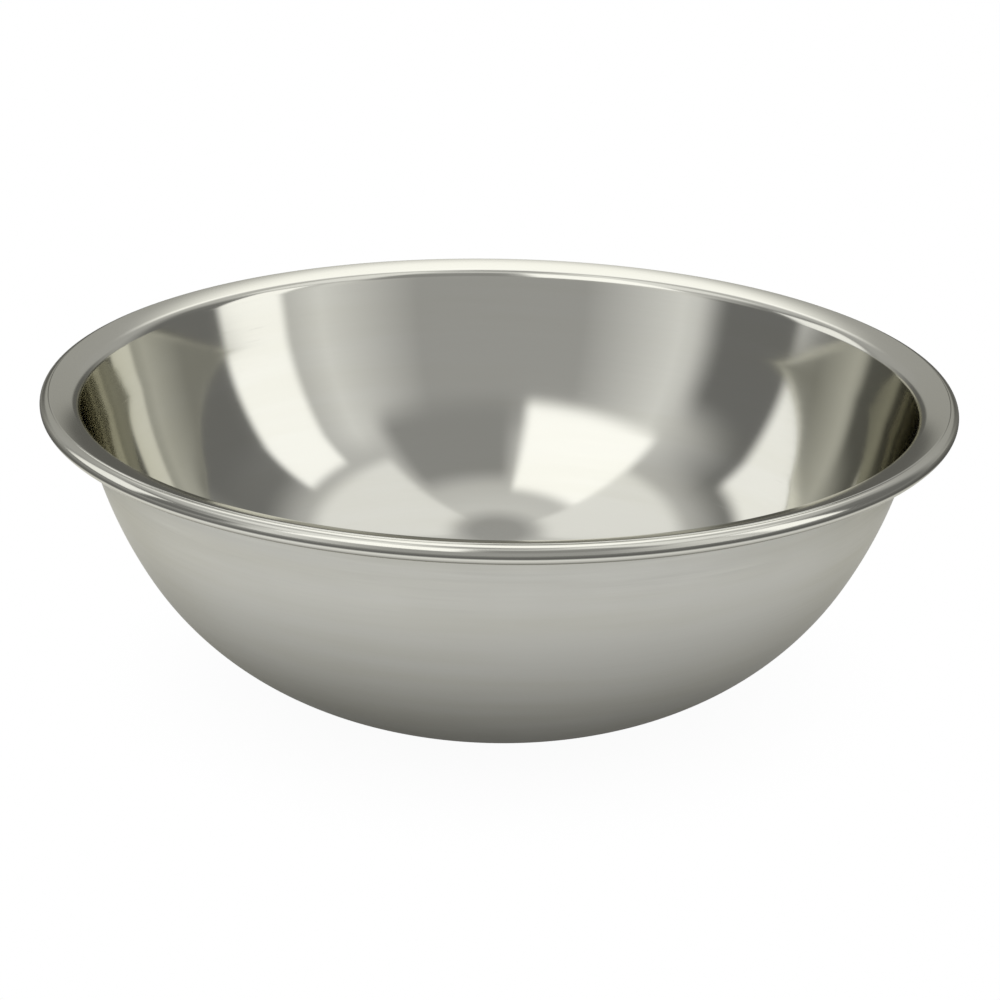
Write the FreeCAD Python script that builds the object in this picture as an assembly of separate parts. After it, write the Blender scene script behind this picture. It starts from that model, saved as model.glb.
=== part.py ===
import FreeCAD, Part
import math
import os

# Mixing bowl: one drawn sheet of stainless steel whose rim is rolled into a bead round a wire.
# Millimetres, +Z up. The origin is the centre of the flat underside that the bowl stands on.
# Half sections lie in the XZ plane (x = radius, z = height) and are turned once round Z.
# Angles are in degrees in that plane: 0 points outwards, 90 points up.

RIM_DIAMETER = 336.6  # outside diameter over the bead
SHEET = 0.9           # sheet thickness

# Wall
BASE_FLAT_RADIUS = 56.0
WALL_SLOPE = 75.0     # slope of the straight top of the wall
WALL_STRAIGHT = 18.18 # length of that straight
# Curved part, from the base upwards: outside radius, slope of the wall where the arc ends
WALL_CURVES = [
    (65.0, 25.0),         # base corner
    (112.8, 60.0),        # lower wall
    (163.7, WALL_SLOPE),  # upper wall
]

# Lip and flange
LIP_RADIUS = 5.0      # on the inside surface of the bowl
CROWN_RADIUS = 60.0   # top of the flange, a shallow crown rising outwards from the lip

# Bead
BEAD_RADIUS = 3.25    # outside
BEAD_INNER_RADIUS = BEAD_RADIUS - SHEET
BEAD_RISE = 3.15      # bead centre above lip centre
CURL_END = 155.0      # angle of the sheet's cut edge, tucked under the flange
INNER_SPLIT = -20.0   # angles where the long arcs inside and outside the bead are
OUTER_SPLIT = -70.0   # divided in two
NECK_IN = 0.90        # inner face of the neck over the bead, inward of the bead centre

# Rounded edge of the flange, and the seam between it and the bead
EDGE_ROUND = 0.45
EDGE_RISE = 3.15      # edge centre above bead centre
EDGE_IN = 0.30        # edge centre inward of bead centre
SEAM_ROUND = 0.15     # rounded bottom of the seam

WIRE_DIAMETER = 4.3


def point(radius, height):
    return FreeCAD.Vector(radius, 0.0, height)


def on_circle(centre, radius, angle):
    turn = math.radians(angle)
    return centre + point(radius * math.cos(turn), radius * math.sin(turn))


def angle_to(centre, target):
    """Direction from centre to target."""
    return math.degrees(math.atan2(target.z - centre.z, target.x - centre.x))


def centre_right_of(first, first_distance, second, second_distance):
    """Point at the given distances from two points, on the right going from first to second."""
    dx = second.x - first.x
    dz = second.z - first.z
    gap = math.hypot(dx, dz)
    along = (gap**2 + first_distance**2 - second_distance**2) / (2.0 * gap)
    aside = math.sqrt(first_distance**2 - along**2)
    return point(first.x + (along * dx + aside * dz) / gap,
                 first.z + (along * dz - aside * dx) / gap)


def arc(centre, radius, start, end):
    angles = (start, 0.5 * (start + end), end)
    return Part.Arc(*[on_circle(centre, radius, angle) for angle in angles]).toShape()


def line(start, end):
    return Part.LineSegment(start, end).toShape()


def turned(edges):
    """Solid from a closed half section turned once round Z."""
    face = Part.Face(Part.Wire(Part.__sortEdges__(edges)))
    solid = face.revolve(FreeCAD.Vector(0, 0, 0), FreeCAD.Vector(0, 0, 1), 360)
    # The turn can leave the solid inside out, depending on which way the face looks.
    if solid.Volume < 0:
        solid.reverse()
    return solid


def wall_layout():
    """Wall arcs as (centre, outside radius, start, end), and the top of the curved outside."""
    arcs = []
    start = -90.0
    joint = point(BASE_FLAT_RADIUS, 0.0)
    for radius, slope in WALL_CURVES:
        # Each centre lies on the inner side of the wall, in line with the last one.
        centre = on_circle(joint, radius, start + 180.0)
        end = slope - 90.0
        arcs.append((centre, radius, start, end))
        joint = on_circle(centre, radius, end)
        start = end
    return arcs, joint


def bowl_shell(wall_arcs, curve_top, straight_top, lip, bead):
    """The whole sheet; lip and bead are the centres of those two rounds."""
    lip_start = WALL_SLOPE + 90.0
    flange_edge = point(bead.x - EDGE_IN, bead.z + EDGE_RISE)

    # The crown touches the lip's circle and the flange edge's circle from above.
    crown = centre_right_of(lip, CROWN_RADIUS - LIP_RADIUS,
                            flange_edge, CROWN_RADIUS - EDGE_ROUND)
    lip_end = angle_to(crown, lip)
    crown_end = angle_to(crown, flange_edge)

    # The seam's bottom touches the bead below it and the flange edge above it.
    seam = centre_right_of(bead, BEAD_RADIUS + SEAM_ROUND,
                           flange_edge, EDGE_ROUND + SEAM_ROUND)
    bead_to_seam = angle_to(bead, seam)
    edge_to_seam = angle_to(flange_edge, seam)

    # The neck's inner face drops from the flange's underside to the inside of the bead.
    crown_under = CROWN_RADIUS - SHEET
    neck_top = math.degrees(math.acos((bead.x - NECK_IN - crown.x) / crown_under))
    neck_foot = math.degrees(math.acos(-NECK_IN / BEAD_INNER_RADIUS))
    curl_end = CURL_END - 360.0  # the same direction, reached clockwise

    # Outside, from the axis to the lip
    edges = [line(point(0.0, 0.0), point(BASE_FLAT_RADIUS, 0.0))]
    for centre, radius, start, end in wall_arcs:
        edges.append(arc(centre, radius, start, end))
    edges += [
        line(curve_top, straight_top),
        arc(lip, LIP_RADIUS - SHEET, lip_start, lip_end),
        # underside of the flange, and the neck
        arc(crown, crown_under, lip_end, neck_top),
        line(on_circle(crown, crown_under, neck_top),
             on_circle(bead, BEAD_INNER_RADIUS, neck_foot)),
        # inside of the bead, clockwise from the neck
        arc(bead, BEAD_INNER_RADIUS, neck_foot, INNER_SPLIT),
        arc(bead, BEAD_INNER_RADIUS, INNER_SPLIT, curl_end),
        # cut edge of the sheet
        line(on_circle(bead, BEAD_INNER_RADIUS, CURL_END),
             on_circle(bead, BEAD_RADIUS, CURL_END)),
        # outside of the bead, back up to the seam
        arc(bead, BEAD_RADIUS, curl_end, OUTER_SPLIT),
        arc(bead, BEAD_RADIUS, OUTER_SPLIT, bead_to_seam),
        arc(seam, SEAM_ROUND, bead_to_seam + 180.0, edge_to_seam + 180.0),
        arc(flange_edge, EDGE_ROUND, edge_to_seam, crown_end),
        # top of the flange and lip
        arc(crown, CROWN_RADIUS, crown_end, lip_end),
        arc(lip, LIP_RADIUS, lip_end, lip_start),
    ]

    # Inside wall, downwards: the same arcs with the sheet taken off their radii
    upper_centre, upper_radius, _, upper_end = wall_arcs[-1]
    edges.append(line(on_circle(lip, LIP_RADIUS, lip_start),
                      on_circle(upper_centre, upper_radius - SHEET, upper_end)))
    for centre, radius, start, end in reversed(wall_arcs):
        edges.append(arc(centre, radius - SHEET, end, start))
    edges += [
        line(point(BASE_FLAT_RADIUS, SHEET), point(0.0, SHEET)),
        line(point(0.0, SHEET), point(0.0, 0.0)),
    ]
    return turned(edges)


def rim_wire(bead):
    """Round wire ring, lying free inside the bead with a small clearance."""
    return Part.makeTorus(bead.x, WIRE_DIAMETER / 2.0,
                          FreeCAD.Vector(0, 0, bead.z), FreeCAD.Vector(0, 0, 1))


wall_arcs, curve_top = wall_layout()
straight_top = on_circle(curve_top, WALL_STRAIGHT, WALL_SLOPE)
# The lip turns the sheet outwards, so its centre lies outside the wall.
lip_centre = on_circle(straight_top, LIP_RADIUS - SHEET, WALL_SLOPE - 90.0)
bead_centre = point(RIM_DIAMETER / 2.0 - BEAD_RADIUS, lip_centre.z + BEAD_RISE)

pieces = {
    "bowl_shell": bowl_shell(wall_arcs, curve_top, straight_top, lip_centre, bead_centre),
    "rim_wire": rim_wire(bead_centre),
}
os.makedirs("parts", exist_ok=True)
for name, shape in pieces.items():
    shape.exportStep("parts/%s.step" % name)
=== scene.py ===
# A spun stainless steel bowl with a rolled rim, standing on a white table.
# Its axis is Z, the underside of its flat base is at Z = 0, and the camera looks from -Y.
import math
import bpy
from mathutils import Matrix, Vector


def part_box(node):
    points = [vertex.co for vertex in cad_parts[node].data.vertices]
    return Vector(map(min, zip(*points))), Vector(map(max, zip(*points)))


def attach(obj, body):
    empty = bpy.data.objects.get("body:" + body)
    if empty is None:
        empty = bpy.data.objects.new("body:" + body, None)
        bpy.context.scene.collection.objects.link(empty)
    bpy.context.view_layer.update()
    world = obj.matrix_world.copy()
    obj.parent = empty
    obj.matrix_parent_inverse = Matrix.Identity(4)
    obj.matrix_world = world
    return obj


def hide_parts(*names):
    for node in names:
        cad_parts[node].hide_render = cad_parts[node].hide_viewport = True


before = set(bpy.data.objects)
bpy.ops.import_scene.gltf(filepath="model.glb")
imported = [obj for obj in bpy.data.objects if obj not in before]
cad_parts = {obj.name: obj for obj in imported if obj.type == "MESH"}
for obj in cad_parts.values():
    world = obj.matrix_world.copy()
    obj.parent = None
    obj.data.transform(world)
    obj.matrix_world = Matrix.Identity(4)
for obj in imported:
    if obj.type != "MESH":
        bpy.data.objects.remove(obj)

scene = bpy.context.scene
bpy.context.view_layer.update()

# ---------------------------------------------------------------- sizes
# The profile is drawn in millimetres (radius, height), angles in degrees.
BEAD_OUTER = 168.3           # outer radius of the bowl, over the bead
SHEET = 0.9                  # sheet thickness
BASE_FLAT = 56.0             # radius of the flat base
BASE_STEPS = 7
WALL_ARCS = (                # outside radius, start angle, end angle, steps; each tangent to the last
    (65.0, -90, -65, 13),    # corner of the base
    (112.8, -65, -30, 38),   # lower wall
    (163.7, -30, -15, 16),   # upper wall
)
WALL_END = WALL_ARCS[-1][2]
STRAIGHT = 18.18             # straight run above the upper wall
LIP_HOLLOW = 4.1             # outer, hollow side of the lip
LIP = LIP_HOLLOW + SHEET     # its inner, rounded side
CROWN = 60.0                 # shallow crown of the flange
BEAD = 3.25                  # rolled bead
BEAD_RISE = 3.15             # bead centre above the lip centre
BEAD_END = -205
EDGE = 0.45                  # rounded outer edge of the flange
EDGE_INSET, EDGE_RISE = 0.30, 3.15    # edge centre, inward of and above the bead centre
SEAM = 0.15                  # narrow seam between edge and bead
NECK_INSET = 0.90            # neck face inward of the bead centre
BOWL_STEPS = 360

# Metres
shell_lo, shell_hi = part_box("bowl_shell")
RIM = (shell_hi.x - shell_lo.x) / 2
MM = RIM / BEAD_OUTER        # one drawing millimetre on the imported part
FLOOR_R, FLOOR_Z = 5.0, -0.0003
FLOOR_RINGS, FLOOR_STEPS = 27, 96
FLOOR_FIRST, FLOOR_GROWTH = 0.03, 1.22


# ---------------------------------------------------------------- circles of the profile
def on_circle(centre, radius, angle):
    angle = math.radians(angle)
    return (centre[0] + radius * math.cos(angle), centre[1] + radius * math.sin(angle))


def touching(first, second, from_first, from_second):
    """Point at the two given distances, on the right of the line from first to second."""
    dx, dz = second[0] - first[0], second[1] - first[1]
    span = math.hypot(dx, dz)
    along = (span ** 2 + from_first ** 2 - from_second ** 2) / (2 * span)
    off = math.sqrt(from_first ** 2 - along ** 2)
    return (first[0] + (along * dx + off * dz) / span,
            first[1] + (along * dz - off * dx) / span)


def direction(centre, point):
    return math.degrees(math.atan2(point[1] - centre[1], point[0] - centre[0]))


wall = []
joint = (BASE_FLAT, 0.0)
for radius, start, end, steps in WALL_ARCS:
    centre = on_circle(joint, radius, start + 180)
    wall.append((centre, radius, start, end, steps))
    joint = on_circle(centre, radius, end)
wall_top = joint
lip_foot = on_circle(wall_top, STRAIGHT, WALL_END + 90)
lip_centre = on_circle(lip_foot, LIP_HOLLOW, WALL_END)
bead_centre = (BEAD_OUTER - BEAD, lip_centre[1] + BEAD_RISE)
edge_centre = (bead_centre[0] - EDGE_INSET, bead_centre[1] + EDGE_RISE)

# The crown touches both the lip and the rounded edge
crown_centre = touching(lip_centre, edge_centre, CROWN - LIP, CROWN - EDGE)
seam_centre = touching(bead_centre, edge_centre, BEAD + SEAM, EDGE + SEAM)
crown_start = direction(crown_centre, lip_centre)
crown_end = direction(crown_centre, edge_centre)
bead_start = direction(bead_centre, seam_centre)
edge_end = direction(edge_centre, seam_centre)
neck_reach = bead_centre[0] - NECK_INSET - crown_centre[0]
neck_top = math.degrees(math.acos(neck_reach / (CROWN - SHEET)))
neck_foot = math.degrees(math.acos(-NECK_INSET / (BEAD - SHEET)))

# ---------------------------------------------------------------- profile of the sheet
# Finishes, which are also the bowl's material slots; HIDDEN is the inner side of the curl
INSIDE, ROLLED, OUTSIDE, HIDDEN = range(4)
CONVEX, CONCAVE = 1, -1      # the normal points away from the arc's centre, or towards it
SAME_POINT = 1e-4

profile = []                 # radius, height, outward normal (radial, vertical), finish, wear


def put(point, normal, finish, wear=0.0):
    if profile and math.dist(profile[-1][:2], point) < SAME_POINT:
        return
    profile.append((*point, *normal, finish, wear))


def arc(centre, radius, start, end, steps, side, finish, wear=0.0):
    for i in range(steps + 1):
        angle = start + (end - start) * i / steps
        normal = on_circle((0.0, 0.0), side, angle)
        put(on_circle(centre, radius, angle), normal, finish, wear)


def line(start, end, steps, normal, finish, last=None):
    """Points after start, up to end or to step number last."""
    for i in range(1, (last or steps) + 1):
        point = [a + (b - a) * i / steps for a, b in zip(start, end)]
        put(point, normal, finish)


# Inside, from the axis up to the lip
line((0, SHEET), (BASE_FLAT, SHEET), BASE_STEPS, (0, 1), INSIDE)
for centre, radius, start, end, steps in wall:
    arc(centre, radius - SHEET, start, end, steps, CONCAVE, INSIDE)
line(profile[-1][:2], on_circle(lip_centre, LIP, WALL_END + 180), 5,
     on_circle((0.0, 0.0), 1, WALL_END + 180), INSIDE)
# Lip, flange, its edge, the seam and the bead
arc(lip_centre, LIP, WALL_END + 180, crown_start, 13, CONVEX, ROLLED, wear=0.35)
arc(crown_centre, CROWN, crown_start, crown_end, 14, CONVEX, ROLLED, wear=0.1)
arc(edge_centre, EDGE, crown_end, edge_end, 10, CONVEX, ROLLED, wear=1.0)
arc(seam_centre, SEAM, edge_end + 180, bead_start + 180, 6, CONCAVE, ROLLED, wear=0.2)
arc(bead_centre, BEAD, bead_start, BEAD_END, 50, CONVEX, ROLLED, wear=0.3)
# Back through the curl: its inside, the neck and the underside of the flange
arc(bead_centre, BEAD - SHEET, BEAD_END, neck_foot, 24, CONCAVE, HIDDEN)
line(on_circle(bead_centre, BEAD - SHEET, neck_foot),
     on_circle(crown_centre, CROWN - SHEET, neck_top), 2, (-1, 0), HIDDEN)
arc(crown_centre, CROWN - SHEET, neck_top, crown_start, 6, CONCAVE, HIDDEN)
# Outside, from the lip's hollow down to the axis
arc(lip_centre, LIP_HOLLOW, crown_start, WALL_END + 180, 9, CONCAVE, OUTSIDE)
line(lip_foot, wall_top, 5, on_circle((0.0, 0.0), 1, WALL_END), OUTSIDE)
for centre, radius, start, end, steps in reversed(wall):
    arc(centre, radius, end, start, steps, CONVEX, OUTSIDE)
line((BASE_FLAT, 0), (0, 0), BASE_STEPS, (0, -1), OUTSIDE, last=BASE_STEPS - 1)


# ---------------------------------------------------------------- meshes
def circle_directions(steps):
    angles = [2 * math.pi * k / steps for k in range(steps)]
    return [(math.cos(angle), math.sin(angle)) for angle in angles]


def disc_faces(ring_count, steps):
    """A fan round vertex 0, then bands of quads between the rings that follow it."""
    faces = [(0, 1 + k, 1 + (k + 1) % steps) for k in range(steps)]
    for i in range(ring_count - 1):
        near, far = 1 + i * steps, 1 + (i + 1) * steps
        for k in range(steps):
            j = (k + 1) % steps
            faces.append((near + k, far + k, far + j, near + j))
    return faces


def add_object(name, mesh):
    ob = bpy.data.objects.new(name, mesh)
    scene.collection.objects.link(ob)
    return ob


def lathe(name, rows, steps):
    """Turns the rows about Z into a closed skin, one vertex at each pole, with exact normals.

    "arc" is the length along the profile, in drawing metres, and "wear" is the rows' wear.
    """
    verts, normals, arcs, wears = [(0, 0, rows[0][1] * MM)], [(0, 0, 1)], [0.0], [0.0]
    length, previous = 0.0, (0.0, rows[0][1])
    for r, z, normal_r, normal_z, _, wear in rows:
        length += math.dist(previous, (r, z))
        previous = (r, z)
        for x, y in circle_directions(steps):
            verts.append((r * MM * x, r * MM * y, z * MM))
            normals.append((normal_r * x, normal_r * y, normal_z))
        arcs += [length / 1000.0] * steps
        wears += [wear] * steps
    end = len(verts)
    verts.append((0, 0, rows[-1][1] * MM))
    normals.append((0, 0, -1))
    arcs.append((length + rows[-1][0]) / 1000.0)
    wears.append(0.0)

    faces = disc_faces(len(rows), steps)
    final = end - steps
    faces += [(final + k, end, final + (k + 1) % steps) for k in range(steps)]
    finishes = [row[4] for row in rows + rows[-1:] for _ in range(steps)]

    mesh = bpy.data.meshes.new(name)
    mesh.from_pydata(verts, [], faces)
    mesh.polygons.foreach_set("material_index", finishes)
    mesh.polygons.foreach_set("use_smooth", [True] * len(faces))
    for attribute, values in (("arc", arcs), ("wear", wears)):
        mesh.attributes.new(attribute, "FLOAT", "POINT").data.foreach_set("value", values)
    mesh.update()
    mesh.normals_split_custom_set_from_vertices(normals)
    return add_object(name, mesh)


bowl = lathe("bowl_sheet", profile, BOWL_STEPS)


# ---------------------------------------------------------------- shader node helpers
STEEL = (0.630, 0.624, 0.560)
MIRRORED = 0.62              # share of the light that the steel returns


def seen(grey):
    """Neutral radiance that looks about this sRGB grey (11-255) once mirrored in the steel."""
    value = ((grey / 255.0 + 0.055) / 1.055) ** 2.4 / MIRRORED
    return (value, value, value, 1)


def steel_colour(red, green, blue):
    """The steel's colour with each channel scaled."""
    return (STEEL[0] * red, STEEL[1] * green, STEEL[2] * blue, 1)


class Nodes:
    """Adds nodes to a tree; each value may be a number, a tuple or another node's socket."""

    def __init__(self, tree):
        self.tree = tree
        tree.nodes.clear()

    def new(self, kind, **props):
        node = self.tree.nodes.new(kind)
        for key, value in props.items():
            setattr(node, key, value)
        return node

    def feed(self, value, socket):
        if isinstance(value, bpy.types.NodeSocket):
            self.tree.links.new(value, socket)
        else:
            socket.default_value = value

    def feed_all(self, node, values):
        for i, value in enumerate(values):
            self.feed(value, node.inputs[i])
        return node.outputs[0]

    def math(self, operation, *values, clamp=False):
        node = self.new("ShaderNodeMath", operation=operation, use_clamp=clamp)
        return self.feed_all(node, values)

    def times(self, a, b):
        return self.math("MULTIPLY", a, b)

    def times_plus(self, a, b, c):
        return self.math("MULTIPLY_ADD", a, b, c)

    def vary(self, noise, amount, base):
        """base, plus or minus amount as the noise runs from 0 to 1."""
        return self.times_plus(self.math("SUBTRACT", noise, 0.5), amount * 2, base)

    def vector(self, x, y, z):
        return self.feed_all(self.new("ShaderNodeCombineXYZ"), (x, y, z))

    def split(self, vector):
        node = self.new("ShaderNodeSeparateXYZ")
        self.feed(vector, node.inputs[0])
        return node.outputs

    def coordinates(self, kind):
        return self.new("ShaderNodeTexCoord").outputs[kind]

    def from_axis(self, position):
        """x, y, z and the distance from the Z axis."""
        x, y, z = self.split(position)
        squares = self.math("ADD", self.times(x, x), self.times(y, y))
        return x, y, z, self.math("SQRT", squares)

    def rise(self, value, low, high, start=0.0, end=1.0, kind="SMOOTHSTEP"):
        """start to end as value goes from low to high."""
        node = self.new("ShaderNodeMapRange", interpolation_type=kind, clamp=True)
        self.feed(value, node.inputs["Value"])
        node.inputs["From Min"].default_value = low
        node.inputs["From Max"].default_value = high
        node.inputs["To Min"].default_value = start
        node.inputs["To Max"].default_value = end
        return node.outputs[0]

    def fall(self, value, low, high):
        return self.rise(value, low, high, start=1.0, end=0.0)

    def mix(self, share, a, b, blend="MIX"):
        node = self.new("ShaderNodeMix", data_type="RGBA", blend_type=blend)
        for index, value in ((0, share), (6, a), (7, b)):
            self.feed(value, node.inputs[index])
        return node.outputs[2]

    def cover(self, mask, amount, under, over):
        return self.mix(self.times(mask, amount), under, over)

    def noise(self, position, scale, detail, rough):
        node = self.new("ShaderNodeTexNoise", noise_dimensions="3D")
        self.feed(position, node.inputs["Vector"])
        node.inputs["Scale"].default_value = scale
        node.inputs["Detail"].default_value = detail
        node.inputs["Roughness"].default_value = rough
        return node.outputs["Fac"]

    def grey_ramp(self, value, stops, span=1.0):
        """Ramp through (place, mirrored grey) stops, with the places running from 0 to span."""
        node = self.new("ShaderNodeValToRGB")
        elements = node.color_ramp.elements
        elements.remove(elements[-1])
        for i, (place, grey) in enumerate(stops):
            stop = elements.new(place / span) if i else elements[0]
            stop.position = place / span
            stop.color = seen(grey)
        self.feed(value, node.inputs[0])
        return node.outputs[0]

    def bump(self, height, strength, distance):
        node = self.new("ShaderNodeBump")
        node.inputs["Strength"].default_value = strength
        node.inputs["Distance"].default_value = distance
        self.feed(height, node.inputs["Height"])
        return node.outputs[0]


def new_material(name):
    material = bpy.data.materials.new(name)
    material.use_nodes = True
    nodes = Nodes(material.node_tree)
    return material, nodes, nodes.new("ShaderNodeOutputMaterial")


def new_metal(name):
    material, nodes, output = new_material(name)
    bsdf = nodes.new("ShaderNodeBsdfPrincipled")
    bsdf.inputs["Metallic"].default_value = 1.0
    nodes.feed(bsdf.outputs[0], output.inputs["Surface"])
    return material, nodes, bsdf


# ---------------------------------------------------------------- bowl materials
def steel(name, rough, aniso, fine, lines, bands, cloud,
          warm=0.5, wear_rough=0.12, speck=0.0, bite=1.2e-6):
    """Stainless sheet brushed round its axis: the grain circles Z and steps along the profile.

    rough: base roughness; fine, lines, cloud: how far each noise shifts it; bands: strength of
    the dark bands; warm: colour spread; wear_rough: roughness added by wear; speck: strength of
    the pits; bite: bump depth in metres.
    """
    material, nodes, bsdf = new_metal(name)
    position = nodes.coordinates("Object")
    x, y, _, radius = nodes.from_axis(position)
    radius = nodes.math("MAXIMUM", radius, 1e-4)
    x, y = nodes.math("DIVIDE", x, radius), nodes.math("DIVIDE", y, radius)
    along = nodes.new("ShaderNodeAttribute", attribute_name="arc").outputs["Fac"]
    wear = nodes.new("ShaderNodeAttribute", attribute_name="wear").outputs["Fac"]

    def grain(per_metre, around, detail, rough, shift):
        place = nodes.vector(nodes.times(x, around), nodes.times(y, around),
                             nodes.times_plus(along, per_metre, shift))
        return nodes.noise(place, scale=1.0, detail=detail, rough=rough)

    fine_grain = grain(per_metre=2600.0, around=5.0, detail=3.0, rough=0.6, shift=0.0)
    line_grain = grain(per_metre=900.0, around=2.2, detail=2.0, rough=0.55, shift=17.0)
    band_grain = grain(per_metre=95.0, around=0.9, detail=2.0, rough=0.5, shift=41.0)
    clouds = nodes.noise(position, scale=26.0, detail=3.0, rough=0.55)
    fog = nodes.noise(position, scale=9.0, detail=2.0, rough=0.5)

    # Short stray scratches crossing the grain at a shallow angle
    place = nodes.vector(nodes.times_plus(x, 7.0, nodes.times(along, 160.0)),
                         nodes.times(y, 7.0), nodes.times(along, 1500.0))
    scratch = nodes.rise(nodes.noise(place, scale=1.0, detail=1.0, rough=0.4), 0.70, 0.78)

    # Pits, in a few of the cells
    cells = nodes.new("ShaderNodeTexVoronoi", feature="F1")
    nodes.feed(position, cells.inputs["Vector"])
    cells.inputs["Scale"].default_value = 48.0
    chosen = nodes.rise(nodes.split(cells.outputs["Color"])[0], 0.93, 0.95)
    pit = nodes.times(chosen, nodes.fall(cells.outputs["Distance"], 0.022, 0.05))

    # Roughness: grain, clouds of haze, worn places, scratches and pits
    roughness = nodes.vary(fine_grain, fine, rough)
    roughness = nodes.vary(line_grain, lines, roughness)
    roughness = nodes.vary(clouds, cloud, roughness)
    worn = nodes.times(wear, nodes.rise(clouds, 0.42, 0.66))
    roughness = nodes.times_plus(worn, wear_rough, roughness)
    roughness = nodes.times_plus(scratch, 0.05, roughness)
    roughness = nodes.times_plus(pit, 0.25, roughness)
    roughness = nodes.math("MAXIMUM", roughness, 0.02, clamp=True)

    # Colour: two close tones of steel, dark bands, fine grain, pits and paler worn places
    deep = 1 - 0.018 * warm
    tone = nodes.times_plus(band_grain, 0.6, nodes.times(fog, 0.4))
    colour = nodes.mix(
        nodes.rise(tone, 0.38, 0.62), steel_colour(deep, deep, deep),
        steel_colour(1 + 0.012 * warm, 1 + 0.014 * warm, 1 + 0.03 * warm))
    colour = nodes.cover(nodes.rise(band_grain, 0.3, 0.7), bands, colour,
                         steel_colour(0.86, 0.86, 0.85))
    colour = nodes.cover(nodes.rise(fine_grain, 0.35, 0.7), 0.05, colour, (0.50, 0.50, 0.48, 1))
    if speck:
        colour = nodes.cover(pit, speck, colour, (0.10, 0.098, 0.09, 1))
    colour = nodes.cover(worn, 0.20, colour, (0.78, 0.775, 0.76, 1))

    height = nodes.times_plus(line_grain, lines * 10.0, nodes.times(fine_grain, fine * 3.0))
    normal = nodes.bump(height, strength=1.0, distance=bite)
    tangent = nodes.new("ShaderNodeTangent", direction_type="RADIAL", axis="Z")
    for socket, value in (
        ("Base Color", colour),
        ("Specular Tint", (0.70, 0.69, 0.64, 1)),   # steel dips before grazing
        ("Roughness", roughness),
        ("Anisotropic", aniso),
        ("Anisotropic Rotation", 0.25),
        ("Tangent", tangent.outputs[0]),
        ("Normal", normal),
    ):
        nodes.feed(value, bsdf.inputs[socket])
    return material


# In the order of the finishes
for material in (
    steel("steel_polished_inside", rough=0.075, aniso=0.55, fine=0.010, lines=0.016,
          bands=0.08, cloud=0.016, warm=1.2, bite=0.8e-6),
    steel("steel_polished_rim", rough=0.11, aniso=0.30, fine=0.010, lines=0.010,
          bands=0.03, cloud=0.015, wear_rough=0.06),
    steel("steel_satin_outside", rough=0.36, aniso=0.40, fine=0.06, lines=0.06,
          bands=0.16, cloud=0.04, warm=2.2, speck=0.7, bite=1.8e-6),
    steel("steel_sheared_edge", rough=0.38, aniso=0.2, fine=0.05, lines=0.03,
          bands=0.05, cloud=0.05),
):
    bowl.data.materials.append(material)

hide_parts("bowl_shell")
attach(bowl, "root")


def wire_steel():
    """Drawn wire: faint die lines along its length and a dull, slightly darker skin."""
    material, nodes, bsdf = new_metal("steel_drawn_wire")
    position = nodes.coordinates("Object")
    x, y, z, radius = nodes.from_axis(position)
    x, y = nodes.math("DIVIDE", x, radius), nodes.math("DIVIDE", y, radius)
    around, across = 4.0, 1800.0      # noise scales along and across the wire
    place = nodes.vector(nodes.times_plus(x, around, nodes.times(radius, across)),
                         nodes.times(y, around), nodes.times(z, across))
    die = nodes.noise(place, scale=1.0, detail=2.0, rough=0.6)
    haze = nodes.noise(position, scale=60.0, detail=3.0, rough=0.55)
    colour = nodes.mix(nodes.rise(haze, 0.35, 0.65),
                       (0.50, 0.495, 0.475, 1), (0.60, 0.595, 0.575, 1))
    colour = nodes.cover(nodes.rise(die, 0.45, 0.75), 0.25, colour, (0.36, 0.35, 0.33, 1))
    roughness = nodes.math("ADD", nodes.times_plus(die, 0.16, 0.24), nodes.times(haze, 0.08))
    normal = nodes.bump(die, strength=0.8, distance=2e-6)
    nodes.feed(colour, bsdf.inputs["Base Color"])
    nodes.feed(roughness, bsdf.inputs["Roughness"])
    nodes.feed(normal, bsdf.inputs["Normal"])
    return material


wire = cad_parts["rim_wire"]
wire.data.materials.clear()
wire.data.materials.append(wire_steel())


# ---------------------------------------------------------------- white table
def table_material():
    """The camera sees white paper with a painted soft shadow under the bowl; other rays see a painted
    glow, with painted shade under the bowl and a painted pool of light round it.
    """
    glow_radius = 0.9
    # Painted light for mirrored rays: painted shade under the bowl, a painted pool of light round it,
    # dimmer beyond
    painted_glow_stops = ((0.05, 60), (0.10, 105), (0.20, 190), (0.25, 210), (0.32, 90), (0.90, 120))
    material, nodes, output = new_material("white_table")
    position = nodes.coordinates("Object")
    x, _, _, radius = nodes.from_axis(position)
    paper = nodes.noise(position, scale=900.0, detail=2.0, rough=0.5)
    place = nodes.math("MULTIPLY", radius, 1.0 / glow_radius, clamp=True)
    glow = nodes.grey_ramp(place, painted_glow_stops, span=glow_radius)
    # Painted light on the glow: brighter on the left, dimmer on the right
    near_x = nodes.math("MINIMUM", nodes.math("MAXIMUM", x, -0.5), 0.5)
    side = nodes.times_plus(near_x, -0.30, 1.0)
    glow = nodes.mix(1.0, glow, nodes.vector(side, side, side), blend="MULTIPLY")
    # Painted soft shadow under the bowl, as the camera sees the table
    painted_shadow = nodes.rise(radius, 0.05, 0.16, start=0.955)
    painted_shadow = nodes.times(painted_shadow, nodes.times_plus(paper, 0.01, 0.995))
    white = nodes.vector(painted_shadow, painted_shadow, painted_shadow)
    rays = nodes.new("ShaderNodeLightPath")
    emission = nodes.new("ShaderNodeEmission")
    nodes.feed(nodes.mix(rays.outputs["Is Camera Ray"], glow, white), emission.inputs["Color"])
    nodes.feed(emission.outputs[0], output.inputs["Surface"])
    return material


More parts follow.
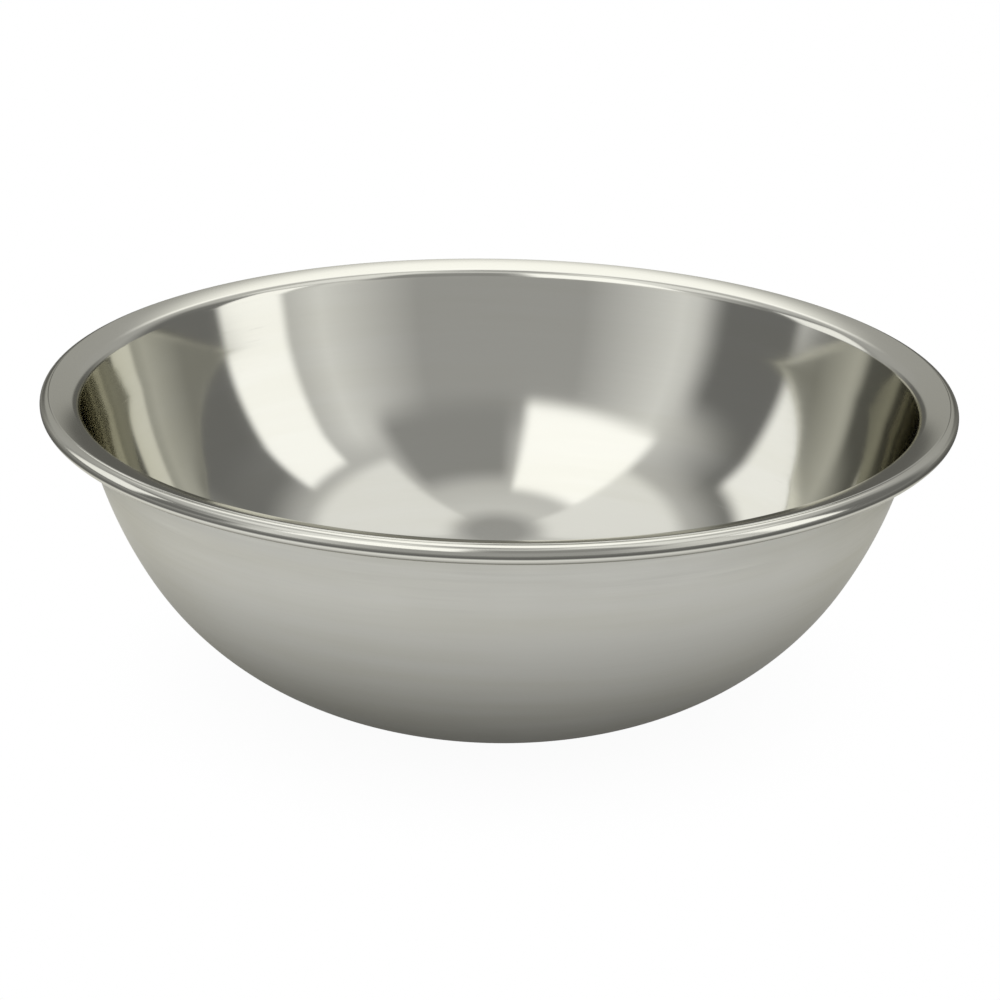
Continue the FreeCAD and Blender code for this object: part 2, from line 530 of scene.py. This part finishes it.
def add_floor():
    """A disc of rings that widen outwards."""
    rings = [FLOOR_FIRST * FLOOR_GROWTH ** i for i in range(FLOOR_RINGS - 1)] + [FLOOR_R]
    verts = [(0.0, 0.0, FLOOR_Z)]
    verts += [(r * x, r * y, FLOOR_Z) for r in rings for x, y in circle_directions(FLOOR_STEPS)]
    mesh = bpy.data.meshes.new("floor")
    mesh.from_pydata(verts, [], disc_faces(FLOOR_RINGS, FLOOR_STEPS))
    add_object("floor", mesh)
    mesh.materials.append(table_material())


add_floor()

# ---------------------------------------------------------------- studio
# A grey room with soft boxes and flags, in degrees. Azimuth runs from behind the bowl (0) by
# its right (90) to the camera (180) and the left (270); elevation is above the table.
WALL_GREYS = (               # angle from straight behind the bowl, grey
    (0, 155), (45, 155), (65, 105), (90, 110), (125, 200), (155, 145), (180, 145))
UPPER_GREYS = (              # share of the way from elevation -10 to 90, grey
    (0.0, 165), (0.75, 175), (0.89, 190), (0.95, 145), (1.0, 145))
PANELS = (                   # grey, middle azimuth, width, low and high elevation, edge softness
    (100, 75, 30, 0, 25, 6),        # flag, right
    (100, 260, 30, 0, 25, 6),       # flag, left
    (130, 160, 50, 35, 65, 5),      # flag by the camera
    (245, 102, 22, 5, 45, 2),       # strip, right
    (230, 290, 30, 5, 35, 3),       # strip, left
    (215, 100, 60, 50, 80, 3),      # top box, right
    (215, 265, 50, 50, 80, 3),      # top box, left
    (250, 215, 50, 35, 70, 3),      # main box, left of the camera
)


def build_studio():
    world = bpy.data.worlds.new("studio")
    scene.world = world
    world.use_nodes = True
    nodes = Nodes(world.node_tree)
    output = nodes.new("ShaderNodeOutputWorld")
    x, y, z = nodes.split(nodes.coordinates("Generated"))
    to_degrees = 180 / math.pi
    turn = nodes.math("ARCTAN2", nodes.times(x, -1.0), nodes.times(y, -1.0))
    azimuth = nodes.times_plus(turn, to_degrees, 180.0)
    sine = nodes.math("MINIMUM", nodes.math("MAXIMUM", z, -1.0), 1.0)
    elevation = nodes.times(nodes.math("ARCSINE", sine), to_degrees)
    from_camera = nodes.math("ABSOLUTE", nodes.math("SUBTRACT", azimuth, 180.0))
    from_back = nodes.math("SUBTRACT", 180.0, from_camera)

    walls = nodes.grey_ramp(nodes.times(from_back, 1 / 180.0), WALL_GREYS, span=180.0)
    upper = nodes.rise(elevation, -10.0, 90.0, kind="LINEAR")
    upper = nodes.grey_ramp(upper, UPPER_GREYS)
    sky = nodes.mix(nodes.rise(elevation, 35.0, 50.0), walls, upper)

    for grey, middle, width, low, high, soft in PANELS:
        across = nodes.math("ABSOLUTE", nodes.math("SUBTRACT", azimuth, middle))
        mask = nodes.fall(across, width / 2 - soft, width / 2 + soft)
        mask = nodes.times(mask, nodes.rise(elevation, low - soft, low + soft))
        mask = nodes.times(mask, nodes.fall(elevation, high - soft, high + soft))
        sky = nodes.mix(mask, sky, seen(grey))

    # The box behind the bowl, and the dark edge of the table under it
    mask = nodes.times(nodes.fall(from_back, 20.0, 40.0),
                       nodes.times(nodes.rise(elevation, 30.0, 45.0),
                                   nodes.fall(elevation, 70.0, 85.0)))
    sky = nodes.mix(mask, sky, seen(250))
    mask = nodes.times(nodes.fall(from_back, 20.0, 50.0), nodes.fall(elevation, 10.0, 15.0))
    sky = nodes.mix(mask, sky, seen(95))

    # The camera itself sees plain white
    rays = nodes.new("ShaderNodeLightPath")
    background = nodes.new("ShaderNodeBackground")
    nodes.feed(nodes.mix(rays.outputs["Is Camera Ray"], sky, (1.0, 1.0, 1.0, 1)),
               background.inputs["Color"])
    nodes.feed(background.outputs[0], output.inputs["Surface"])


build_studio()

# ---------------------------------------------------------------- camera
CAMERA_DISTANCE = 6.0 * RIM
CAMERA_ELEVATION = math.radians(18.33)
CAMERA_PIVOT_Z = 111.698 * MM         # the height that distance and elevation start from
CAMERA_TURN = Matrix((                # columns: the camera's right, up and backward axes
    (0.99983431, -0.01818491, -0.00081254),
    (0.00566948, 0.35351249, -0.93541262),
    (0.01729764, 0.93525303, 0.35355702),
))

lens = bpy.data.cameras.new("camera")
camera = add_object("camera", lens)
scene.camera = camera
place = Vector((0.0, -CAMERA_DISTANCE * math.cos(CAMERA_ELEVATION),
                CAMERA_PIVOT_Z + CAMERA_DISTANCE * math.sin(CAMERA_ELEVATION)))
camera.matrix_world = Matrix.Translation(place) @ CAMERA_TURN.to_4x4()
lens.sensor_width = 36.0
lens.lens = 98.071
lens.clip_start, lens.clip_end = 0.05, 50.0

scene.view_settings.view_transform = "Standard"
scene.view_settings.look = "None"
if hasattr(scene, "cycles"):
    scene.cycles.use_denoising = True
    scene.cycles.max_bounces = 14
    scene.cycles.glossy_bounces = 12
